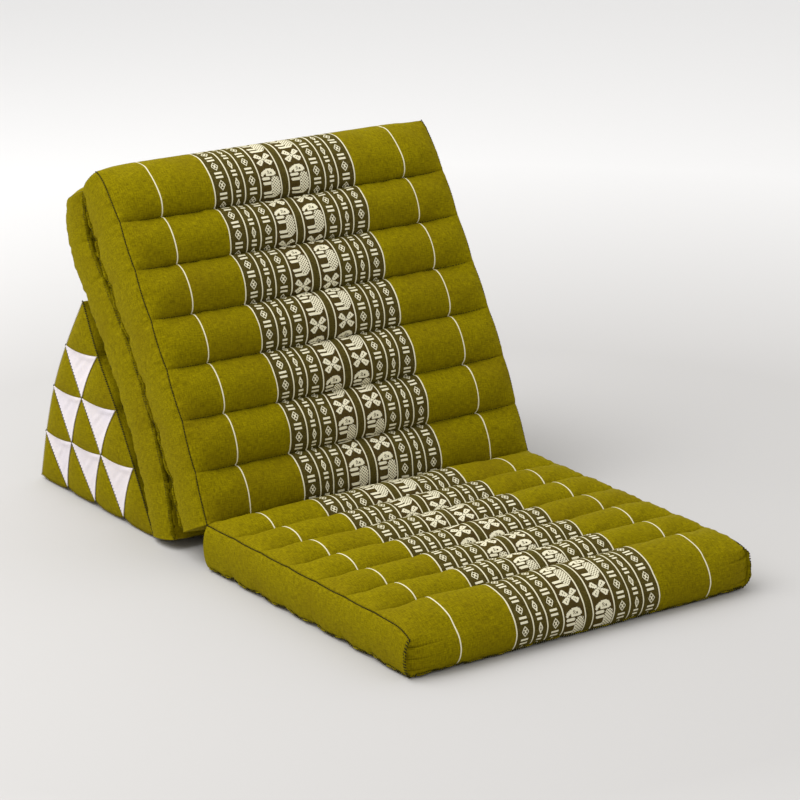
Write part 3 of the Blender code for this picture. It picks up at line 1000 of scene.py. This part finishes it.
# One row for each line of nodes across the end, from the apex down
Row = namedtuple("Row", "back_y back_z front_y front_z back_crest front_crest")
WEDGE_OUTLINE = (
    Row(0.3170, 0.2900, 0.3170, 0.2900, 0.000, 0.000),
    Row(0.3720, 0.2170, 0.2820, 0.2215, 0.010, 0.009),
    Row(0.4146, 0.1490, 0.2373, 0.1570, 0.011, 0.009),
    Row(0.4461, 0.0760, 0.1955, 0.0870, 0.011, 0.006),
    Row(0.4695, 0.0050, 0.1501, 0.0050, 0.010, 0.000),
)
WEDGE_BACK = [Vector((line.back_y, line.back_z)) for line in WEDGE_OUTLINE]
WEDGE_FRONT = [Vector((line.front_y, line.front_z)) for line in WEDGE_OUTLINE]


def outward_normal(points, place, opposite):
    """Returns the curve's unit normal at place, on the side away from the opposite curve."""
    last = len(points) - 1
    ahead = curve_through(points, min(place + 0.01, last))
    behind = curve_through(points, max(place - 0.01, 0))
    along = (ahead - behind).normalized()
    normal = Vector((-along.y, along.x))
    return normal if normal.dot(points[-1] - opposite[-1]) > 0 else -normal


def in_end_triangle(row, across):
    """Returns how far down and across its own triangle or opening a point of the wedge's end lies."""
    return row - math.floor(row + SAME), across - math.floor(across + SAME)


def end_bump(row, across):
    """Returns how far a point of the wedge's end stands out from the seams of the end."""
    shares = ((WEDGE_ROWS - row) / WEDGE_ROWS, across / WEDGE_ROWS, (row - across) / WEDGE_ROWS)
    dome = END_DOME * max(27 * shares[0] * shares[1] * shares[2], 0) ** DOME_FULL
    down, side = in_end_triangle(row, across)
    if side > down:
        parts = (1 - side, side - down, down)
        height = -END_RECESS
    else:
        parts = (1 - down, side, down - side)
        height = END_PUFF
    return dome + height * max(27 * parts[0] * parts[1] * parts[2], 0) ** END_FULL


def drawn(row, across):
    """Returns a place of the wedge's end as the seams between its triangles curve: they sag and draw in."""
    down, side = in_end_triangle(row, across)
    if side > down:
        level, upright = 4 * (1 - side) * (side - down), 4 * (side - down) * down
        seam_row, seam_across = row - down, across - side + 1
    else:
        level, upright = 4 * side * (down - side), 4 * (1 - down) * (down - side)
        seam_row, seam_across = row - down + 1, across - side
    if 0.5 < seam_row < WEDGE_ROWS - 0.5:
        row += SEAM_SAG * level
    if 0.5 < seam_across:
        across -= SEAM_DRAWN * upright
    return row, across


def wedge_section(row, across):
    """Returns a point of the wedge's section: row counts from the apex, across from the back seam."""
    row, across = drawn(row, across)
    share = across / row if row > SAME else 0.0
    point = curve_through(WEDGE_BACK, row).lerp(curve_through(WEDGE_FRONT, row), min(share, 1.0))
    lift = BASE_SEAM_LIFT - WEDGE_OUTLINE[-1].back_z
    point.y += lift * 4 * share * (1 - share) * (row / WEDGE_ROWS) ** 4
    return point


def wedge_point(x, row, across):
    """Returns where the wedge's cloth lies."""
    half = WEDGE_WIDTH / 2
    lift = crown(half - abs(x))
    point = wedge_section(row, across)
    below = min(int(row), WEDGE_ROWS - 1) + 1
    u = row - (below - 1)
    dip = CREASE_DIP * min(row, 1.0, WEDGE_ROWS - row) * (1 - rib(u))
    if across < SAME:
        height = WEDGE_OUTLINE[below].back_crest * rib(u) - dip
        point += outward_normal(WEDGE_BACK, row, WEDGE_FRONT) * height * lift
    elif across > row - SAME:
        height = WEDGE_OUTLINE[below].front_crest * rib(u) - dip
        point += outward_normal(WEDGE_FRONT, row, WEDGE_BACK) * height * lift
    if row > WEDGE_ROWS - SAME:
        point.y *= 1 - max(lift, BASE_SCALLOP) * min(rib(across % 1) / rib(LAND[0]), 1)
    if abs(x) > half - SAME:
        x = math.copysign(half + end_bump(row, across), x)
    else:
        point += WEDGE_SWELL * wedge_unevenness(x, row) * lift
    return Vector((x, point.x + SHIFT_Y, max(point.y, 0.0)))


def wedge_unevenness(x, row):
    """Returns how far filling that lies unevenly lifts the wedge's cloth there."""
    height = sum(size * math.sin(x * kx + row * kr + turn) for kx, kr, turn, size in WEDGE_WAVES)
    return height if SWELL_START < row < WEDGE_ROWS - SWELL_START else 0.0


def prism_lattice(rows, splits, stations):
    """Makes a triangular prism along X with its apex up, cut into equal rows parallel to its sides."""
    cage = bmesh.new()
    bmesh.ops.create_cone(cage, cap_ends=True, segments=3, radius1=1.0, radius2=1.0, depth=2.0)
    corners = [Vector((vert.co.x, vert.co.y, 0)) for vert in cage.verts if vert.co.z > 0]
    step = 1.5 / (rows * splits)
    cuts = [(corner, step * i - 0.5) for corner in corners for i in range(1, rows * splits)]
    cuts += [(Vector((0, 0, 1)), station) for station in stations]
    for normal, distance in cuts:
        geometry = cage.verts[:] + cage.edges[:] + cage.faces[:]
        bmesh.ops.bisect_plane(cage, geom=geometry, dist=1e-5,
                               plane_co=normal * distance, plane_no=normal)
    apex, front, _ = corners
    for vert in cage.verts:
        row = (1 - vert.co.dot(apex)) / 1.5 * rows
        across = (vert.co.dot(front) + 0.5) / 1.5 * rows
        vert.co = (vert.co.z, round(across * splits) / splits, round(row * splits) / splits)
    return cage


def on_seam(marks):
    """Returns whether both ends of an edge lie on one whole line of nodes."""
    return abs(marks[0] - marks[1]) < SAME and abs(marks[0] - round(marks[0])) < SAME


def wedge_mesh(name):
    """Makes the wedge's cage."""
    half = WEDGE_WIDTH / 2
    inner = half - CROWN_REACH
    right = [half - step for step in SIDE_STEPS[1:]]
    stations = [-place for place in right] + right
    stations += [inner * (2 * i / MIDDLE_STEPS - 1) for i in range(1, MIDDLE_STEPS)]
    cage = prism_lattice(WEDGE_ROWS, WEDGE_SPLITS, [place / half for place in stations])
    spots = {}
    for vert in cage.verts:
        end, across, row = vert.co
        spots[vert] = (end * half, row, across)
    weave = cage.loops.layers.uv.new("weave")
    creased = cage.edges.layers.float.new("crease_edge")
    pitch = (WEDGE_BACK[-1] - WEDGE_BACK[0]).length / WEDGE_ROWS
    for edge in cage.edges:
        ends = [spots[vert] for vert in edge.verts]
        rows = [spot[1] for spot in ends]
        acrosses = [spot[2] for spot in ends]
        slants = [spot[1] - spot[2] for spot in ends]
        on_end = all(abs(spot[0]) > half - SAME for spot in ends)
        on_face = all(spot[2] < SAME or spot[2] > spot[1] - SAME for spot in ends)
        if on_end and (on_seam(rows) or on_seam(acrosses) or on_seam(slants)) or on_face and on_seam(rows):
            edge[creased] = 1.0
    for face in cage.faces:
        members = [spots[vert] for vert in face.verts]
        on_end = all(abs(spot[0]) > half - SAME for spot in members)
        on_back = all(spot[2] < SAME for spot in members)
        on_front = all(spot[2] > spot[1] - SAME for spot in members)
        face.material_index = 0 if (on_back or on_front) and not on_end else 1
        for loop in face.loops:
            x, row, across = spots[loop.vert]
            if on_end:
                section = wedge_section(row, across)
                loop[weave].uv = (section.x, section.y)
            elif on_back or on_front:
                loop[weave].uv = (x, -row * pitch)
            else:
                loop[weave].uv = (x, across * pitch)
    for vert, spot in spots.items():
        vert.co = wedge_point(*spot)
    if cage.calc_volume(signed=True) < 0:
        bmesh.ops.reverse_faces(cage, faces=cage.faces[:])
    data = bpy.data.meshes.new(name)
    cage.to_mesh(data)
    cage.free()
    return data


wedge = piece_of("support_wedge", wedge_mesh("support_wedge"), [top_cloth, plain_cloth])
refined(wedge)
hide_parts("wedge")


def end_line(side, start, end):
    """Returns a line on an end of the wedge, between two (row, across) nodes, and the way outward."""
    shares = [i / LINE_STEPS for i in range(LINE_STEPS + 1)]
    path = [(start[0] + (end[0] - start[0]) * k, start[1] + (end[1] - start[1]) * k) for k in shares]
    points = [wedge_point(side * WEDGE_WIDTH / 2, row, across) for row, across in path]
    return np.array(points), np.array([(side, 0.0, 0.0)] * len(points))


def face_line(row, front):
    """Returns a sewn crease of one of the wedge's long faces, and the way outward."""
    half = WEDGE_WIDTH / 2 - CREASE_START
    own, other = (WEDGE_FRONT, WEDGE_BACK) if front else (WEDGE_BACK, WEDGE_FRONT)
    normal = outward_normal(own, row, other)
    across = float(row) if front else 0.0
    places = [half * (i / LINE_STEPS - 1) for i in range(2 * LINE_STEPS + 1)]
    points = [wedge_point(x, float(row), across) for x in places]
    return np.array(points), np.array([(0.0, normal.x, normal.y)] * len(points))


LINE_STEPS = 40
creases = [face_line(row, front) for row in range(1, WEDGE_ROWS) for front in (False, True)]
stitching("wedge_crease_stitches", creases, RUNNING, dark_thread)
edgings = [end_line(side, (0, 0), (WEDGE_ROWS, 0)) for side in (-1, 1)]
edgings += [end_line(side, (WEDGE_ROWS, i), (WEDGE_ROWS, i + 1))
            for side in (-1, 1) for i in range(WEDGE_ROWS)]
stitching("wedge_edge_stitches", edgings, EDGING, green_thread)
closings = [end_line(side, (0, 0), (WEDGE_ROWS, WEDGE_ROWS)) for side in (-1, 1)]
stitching("wedge_front_stitches", closings, OVERCAST, dark_thread)

# Pale end triangles.
# Three-cornered pieces of thin white cotton that close the gaps between the green tubes' ends,
# whipped along their edges and pulled in a little by the filling.

PATCH_THICKNESS = 0.0012
PATCH_INSET = 0.02      # of the way from a seam to the triangle's middle
PATCH_SEAT = 0.0007     # over the wedge's own surface
PATCH_SPLITS = 24
FOLD_HEIGHT = 0.0016    # turned edge that shows at the top, towards the front
FOLD_WIDTH = 0.045
FOLD_PLACE = 0.11       # from the top edge, less towards the front
WRINKLES = ((31.0, 0.6, 0.0004), (53.0, 2.2, 0.0003))
WHIP_LIGHT = "5A5E6E"
WHIP_DARK = "23252E"
WHIP = Stitch(0.0042, 0.0044, 0.0015, -1.15, 0.0014)
PALE_WARP = "DCD3D1"
PALE_WEFT = "D0CACF"
PALE_SLUB = "C3C1D5"
PALE_FUZZ = "E0D7D9"

pale_cloth = woven_cotton("bleached_woven_cotton", PALE_WARP, PALE_WEFT, PALE_SLUB, PALE_FUZZ)
patch_cage = prism_lattice(1, PATCH_SPLITS, [])
patch_cage.loops.layers.uv.new("weave")
whip_thread = twisted_thread("grey_cotton_thread", WHIP_LIGHT, WHIP_DARK)


def patch(name, top_row, column, side, node):
    """Makes one pale triangle: its top edge on the row's line of nodes, its tip on the next one."""
    cage = patch_cage.copy()
    middle = Vector((1, 1, 1)) / 3
    weave = cage.loops.layers.uv["weave"]
    spots = {}
    for vert in cage.verts:
        outer, across, row = vert.co
        shares = Vector((1 - row, across, row - across))
        shares = shares.lerp(middle, PATCH_INSET)
        row_place = top_row + shares.z
        across_place = column + 1 - shares.x
        point = wedge_section(row_place, across_place)
        inside = min(shares) * 3
        fold = math.exp(-((shares.z - FOLD_PLACE * (1 - 0.5 * shares.y)) / FOLD_WIDTH) ** 2)
        height = end_bump(row_place, across_place) + PATCH_SEAT
        height += FOLD_HEIGHT * fold * min(max(shares.y * 2 - 0.6, 0), 1) * min(shares.x * 12, 1)
        height += inside * sum(size * (1 + math.sin(shares.x * k + shares.y * k / 3 + turn + number))
                               for k, turn, size in WRINKLES)
        height += PATCH_THICKNESS if outer > 0 else 0.0
        spots[vert] = (point.x, point.y)
        vert.co = (side * (WEDGE_WIDTH / 2 + height), point.x + SHIFT_Y, point.y)
    for face in cage.faces:
        for loop in face.loops:
            loop[weave].uv = spots[loop.vert]
    if cage.calc_volume(signed=True) < 0:
        bmesh.ops.reverse_faces(cage, faces=cage.faces[:])
    data = bpy.data.meshes.new(name)
    cage.normal_update()
    outward = [face for face in cage.faces if face.normal.x * side > 0.5]
    flat = sum(face.calc_area() for face in outward)
    cage.to_mesh(data)
    cage.free()
    piece = piece_of(name, data, [pale_cloth])
    data.set_sharp_from_angle(angle=math.radians(50))
    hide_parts(node)


whipped = []
for side_name, side in (("left", -1), ("right", 1)):
    number = 0
    for top_row in range(1, WEDGE_ROWS):
        for column in range(top_row):
            number += 1
            patch(f"pale_triangle_{side_name}_{number}", top_row, column, side,
                  f"end_patch_{side_name}_{number}")
            whipped.append(end_line(side, (top_row, column), (top_row + 1, column + 1)))
stitching("whip_stitches", whipped, WHIP, whip_thread)

# Studio.
# A plain pale floor that runs out to a pale horizon, one wide soft light from the upper left over an
# even white surround, and the camera at the photograph's angle.

FLOOR_NEAR = "B8B6B4"
FLOOR_FAR = "E4E3E2"
FLOOR_EDGES = (0.9, 2.2)  # from the middle, where the floor starts and ends turning paler
FLOOR_RADIUS = 7.0
FLOOR_DROP = -0.0004    # under the seat's stitches
SURROUND = 0.91
LIGHT_PLACE = Vector((-1.45, 0.75, 2.75))
LIGHT_TARGET = Vector((0.0, 0.0, 0.2))
LIGHT_SIZE = 3.0
LIGHT_POWER = 102.0
CAMERA_PLACE = (-2.1520, -3.3696, 1.4105)
CAMERA_DOWN = 18.84     # degrees below level
CAMERA_ASIDE = 36.83    # degrees to the right of +Y
CAMERA_LENS = 142.0
CAMERA_SHIFT = (-0.2494, 0.1198)
bpy.context.scene.view_settings.view_transform = "Standard"
bpy.ops.mesh.primitive_circle_add(vertices=96, radius=FLOOR_RADIUS, fill_type="NGON",
                                  location=(0.0, 0.0, FLOOR_DROP))
floor = bpy.context.object
floor.name = "floor"
bpy.ops.object.transform_apply(location=True)
floor_finish = bpy.data.materials.new("matt_pale_paint")
floor_finish.use_nodes = True
tree = floor_finish.node_tree
place = add(tree, "ShaderNodeTexCoord", {}, output=3)
reach = add(tree, "ShaderNodeVectorMath", {0: place}, output=1, operation="LENGTH")
share = add(tree, "ShaderNodeMapRange", {0: reach, 1: FLOOR_EDGES[0], 2: FLOOR_EDGES[1]})
paint = add(tree, "ShaderNodeMix", {0: share, 6: linear(FLOOR_NEAR), 7: linear(FLOOR_FAR)}, 2,
            data_type="RGBA")
tree.links.new(paint, tree.nodes["Principled BSDF"].inputs["Base Color"])
tree.nodes["Principled BSDF"].inputs["Roughness"].default_value = 0.7
floor.data.materials.append(floor_finish)

world = bpy.data.worlds.new("studio")
bpy.context.scene.world = world
world.use_nodes = True
world.node_tree.nodes["Background"].inputs["Color"].default_value = linear("FFFFFF")
world.node_tree.nodes["Background"].inputs["Strength"].default_value = SURROUND

light_data = bpy.data.lights.new("key", "AREA")
light_data.size = LIGHT_SIZE
light_data.energy = LIGHT_POWER
light = bpy.data.objects.new("key", light_data)
light.location = LIGHT_PLACE
light.rotation_euler = (LIGHT_TARGET - LIGHT_PLACE).to_track_quat("-Z", "Y").to_euler()
bpy.context.scene.collection.objects.link(light)

camera_data = bpy.data.cameras.new("camera")
camera_data.sensor_width = 36.0
camera_data.lens = CAMERA_LENS
camera_data.shift_x, camera_data.shift_y = CAMERA_SHIFT
camera = bpy.data.objects.new("camera", camera_data)
camera.location = CAMERA_PLACE
camera.rotation_euler = (math.radians(90 - CAMERA_DOWN), 0.0, -math.radians(CAMERA_ASIDE))
bpy.context.scene.collection.objects.link(camera)
bpy.context.scene.camera = camera
